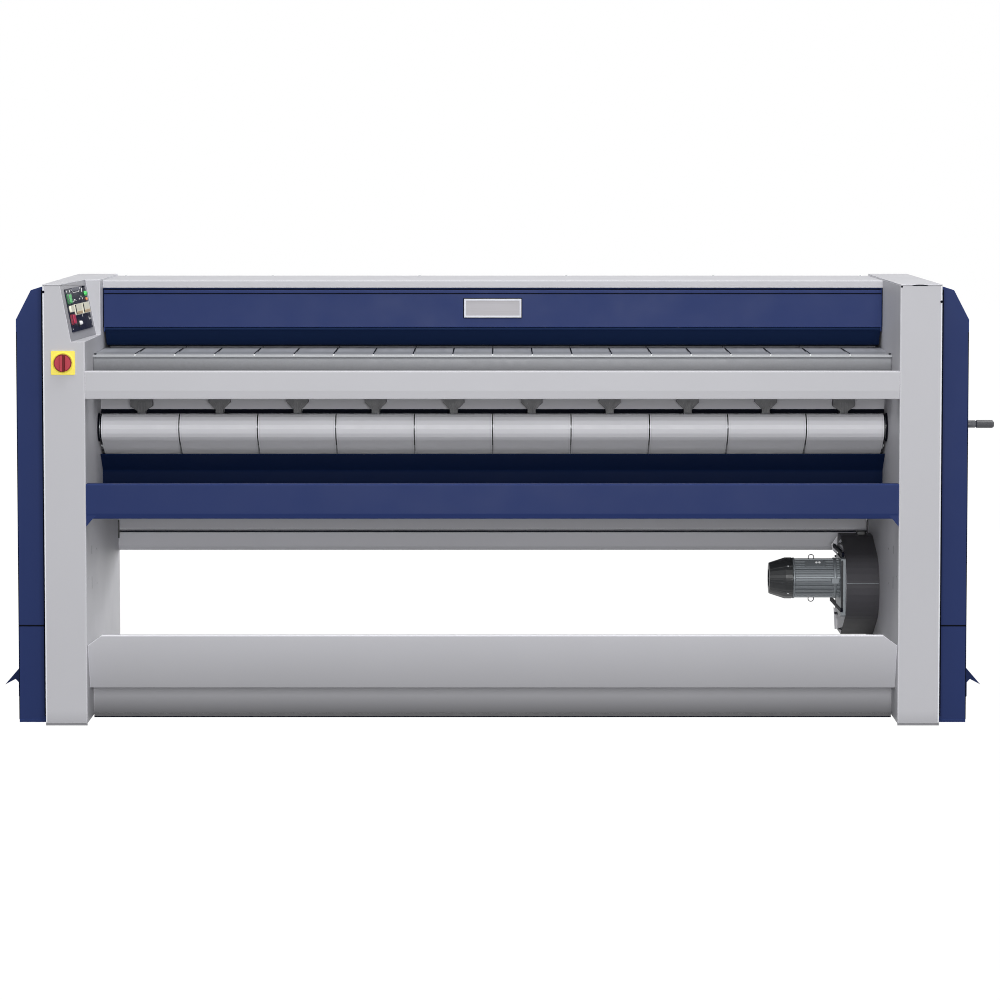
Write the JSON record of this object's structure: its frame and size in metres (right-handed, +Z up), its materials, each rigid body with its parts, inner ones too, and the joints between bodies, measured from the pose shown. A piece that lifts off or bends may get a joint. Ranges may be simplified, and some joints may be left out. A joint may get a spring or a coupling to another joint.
{
  "type": "cylinder ironer",
  "caption": "Free-standing cylinder ironer: linen is fed over a slotted table, pressed round a heated drum by wide belts and returned at the front into a trough.",
  "frame": {"origin": "on the floor under the middle of the machine", "axes": "+X along the cylinder to the operator's right, the operator stands on the -Y side, +Z up"},
  "size_m": [3.144, 1.08, 1.367],
  "materials": {
    "light_paint": "light grey powder coat, satin",
    "blue_paint": "deep blue powder coat, satin",
    "dark_blue_paint": "very dark blue powder coat",
    "table_steel": "fine brushed stainless sheet",
    "drum_steel": "polished and waxed steel",
    "roller_steel": "turned steel tube",
    "bearing_iron": "dark cast iron",
    "belt_cloth": "smooth coated grey ironing belt",
    "drive_rubber": "black drive belt rubber",
    "black_plastic": "fine grained black plastic",
    "panel_plastic": "dark printed membrane",
    "yellow_plastic": "yellow switch plate",
    "red_plastic": "red moulded plastic",
    "green_plastic": "green key",
    "cream_plastic": "cream key",
    "scroll_paint": "dark grey painted sheet",
    "motor_alloy": "grey painted die-cast aluminium",
    "foot_rubber": "black foot with steel stud"
  },
  "bodies": {
    "housing": {"burner_tube": "roller_steel", "chute_rail": "blue_paint", "control_panel": "panel_plastic", "delivery_chute": "dark_blue_paint", "drive_belt": "drive_rubber", "fan_motor": "motor_alloy", "fan_scroll": "scroll_paint", "feed_table": "table_steel", "front_rail": "light_paint", "gearmotor": "motor_alloy", "ironing_belt_01": "belt_cloth", "ironing_belt_02": "belt_cloth", "ironing_belt_03": "belt_cloth", "ironing_belt_04": "belt_cloth", "ironing_belt_05": "belt_cloth", "ironing_belt_06": "belt_cloth", "ironing_belt_07": "belt_cloth", "ironing_belt_08": "belt_cloth", "ironing_belt_09": "belt_cloth", "ironing_belt_10": "belt_cloth", "kick_panel": "light_paint", "left_cylinder_bearing": "bearing_iron", "left_front_foot": "foot_rubber", "left_rear_foot": "foot_rubber", "left_service_panel": "blue_paint", "left_side_cover": "blue_paint", "left_side_frame": "light_paint", "left_top_cap": "light_paint", "linen_trough": "light_paint", "motor_cowl": "black_plastic", "rear_beam": "light_paint", "rear_panel": "light_paint", "right_cylinder_bearing": "bearing_iron", "right_front_foot": "foot_rubber", "right_rear_foot": "foot_rubber", "right_service_panel": "blue_paint", "right_side_cover": "blue_paint", "right_side_frame": "light_paint", "right_top_cap": "light_paint", "stripper_bar": "light_paint", "switch_plate": "yellow_plastic", "top_cover": "light_paint"},
    "cylinder": {"ironing_cylinder": "drum_steel", "cylinder_pulley": "bearing_iron"},
    "drive_shaft": {"drive_pulley": "bearing_iron", "crank_arm": "roller_steel"},
    "crank_grip": {"crank_grip": "black_plastic"},
    "return_roller": {"return_roller": "roller_steel"},
    "lower_idler": {"lower_idler": "roller_steel"},
    "rear_lower_roller": {"rear_lower_roller": "roller_steel"},
    "rear_upper_roller": {"rear_upper_roller": "roller_steel"},
    "feed_roller": {"feed_roller": "roller_steel"},
    "fan_impeller": {"fan_impeller": "roller_steel"},
    "hood": {"hood_panel": "blue_paint"},
    "finger_guard": {"finger_guard": "dark_blue_paint"},
    "switch_knob": {"switch_knob": "red_plastic"},
    "start_key": {"start_key": "green_plastic"},
    "stop_key": {"stop_key": "red_plastic"},
    "speed_key": {"speed_key": "cream_plastic"},
    "heat_key": {"heat_key": "cream_plastic"}
  },
  "joints": [
    {"name": "cylinder_spin", "type": "hinge", "parent": "housing", "child": "cylinder", "pos_m": [0, 0.245, 0.935], "axis": [1, 0, 0], "continuous": true},
    {"name": "drive_spin", "type": "hinge", "parent": "housing", "child": "drive_shaft", "pos_m": [1.4, -0.156, 0.921], "axis": [1, 0, 0], "continuous": true},
    {"name": "grip_spin", "type": "hinge", "parent": "drive_shaft", "child": "crank_grip", "pos_m": [1.54, -0.276, 0.921], "axis": [1, 0, 0], "continuous": true},
    {"name": "return_roller_spin", "type": "hinge", "parent": "housing", "child": "return_roller", "pos_m": [0, -0.123, 0.9], "axis": [1, 0, 0], "continuous": true},
    {"name": "lower_idler_spin", "type": "hinge", "parent": "housing", "child": "lower_idler", "pos_m": [0, -0.04, 0.835], "axis": [1, 0, 0], "continuous": true},
    {"name": "rear_lower_spin", "type": "hinge", "parent": "housing", "child": "rear_lower_roller", "pos_m": [0, 0.453, 0.64], "axis": [1, 0, 0], "continuous": true},
    {"name": "rear_upper_spin", "type": "hinge", "parent": "housing", "child": "rear_upper_roller", "pos_m": [0, 0.453, 1.2], "axis": [1, 0, 0], "continuous": true},
    {"name": "feed_roller_spin", "type": "hinge", "parent": "housing", "child": "feed_roller", "pos_m": [0, 0.16204, 1.16293], "axis": [1, 0, 0], "continuous": true},
    {"name": "fan_spin", "type": "hinge", "parent": "housing", "child": "fan_impeller", "pos_m": [1.2, 0.172, 0.385], "axis": [1, 0, 0], "continuous": true},
    {"name": "hood_lift", "type": "hinge", "parent": "housing", "child": "hood", "pos_m": [0, 0.0346, 1.332], "axis": [-1, 0, 0], "range_deg": [0, 75]},
    {"name": "guard_swing", "type": "hinge", "parent": "hood", "child": "finger_guard", "pos_m": [0, 0.0345, 1.2055], "axis": [1, 0, 0], "range_deg": [0, 12]},
    {"name": "main_switch_turn", "type": "hinge", "parent": "housing", "child": "switch_knob", "pos_m": [-1.319, -0.51, 1.126], "axis": [0, 1, 0], "range_deg": [0, 90]},
    {"name": "start_key_press", "type": "slide", "parent": "housing", "child": "start_key", "axis": [-0.9801, 0.0597, -0.1893], "range_m": [0, 0.002], "stiffness_N_per_m": 900, "springref_m": -0.001},
    {"name": "stop_key_press", "type": "slide", "parent": "housing", "child": "stop_key", "axis": [-0.9801, 0.0597, -0.1893], "range_m": [0, 0.002], "stiffness_N_per_m": 900, "springref_m": -0.001},
    {"name": "speed_key_rock", "type": "hinge", "parent": "housing", "child": "speed_key", "pos_m": [-1.2958, -0.30057, 1.28214], "axis": [0.0608, 0.9982, 0], "range_deg": [-4, 4], "stiffness_Nm_per_rad": 0.6},
    {"name": "heat_key_rock", "type": "hinge", "parent": "housing", "child": "heat_key", "pos_m": [-1.28729, -0.16083, 1.28214], "axis": [0.0608, 0.9982, 0], "range_deg": [-4, 4], "stiffness_Nm_per_rad": 0.6}
  ],
  "couplings": [
    {"joint": "drive_spin", "follows": "cylinder_spin", "ratio": 3},
    {"joint": "return_roller_spin", "follows": "cylinder_spin", "ratio": -5.1463},
    {"joint": "lower_idler_spin", "follows": "cylinder_spin", "ratio": -10.048},
    {"joint": "rear_lower_spin", "follows": "cylinder_spin", "ratio": -9.1739},
    {"joint": "rear_upper_spin", "follows": "cylinder_spin", "ratio": -9.1739},
    {"joint": "feed_roller_spin", "follows": "cylinder_spin", "ratio": -8.44}
  ]
}
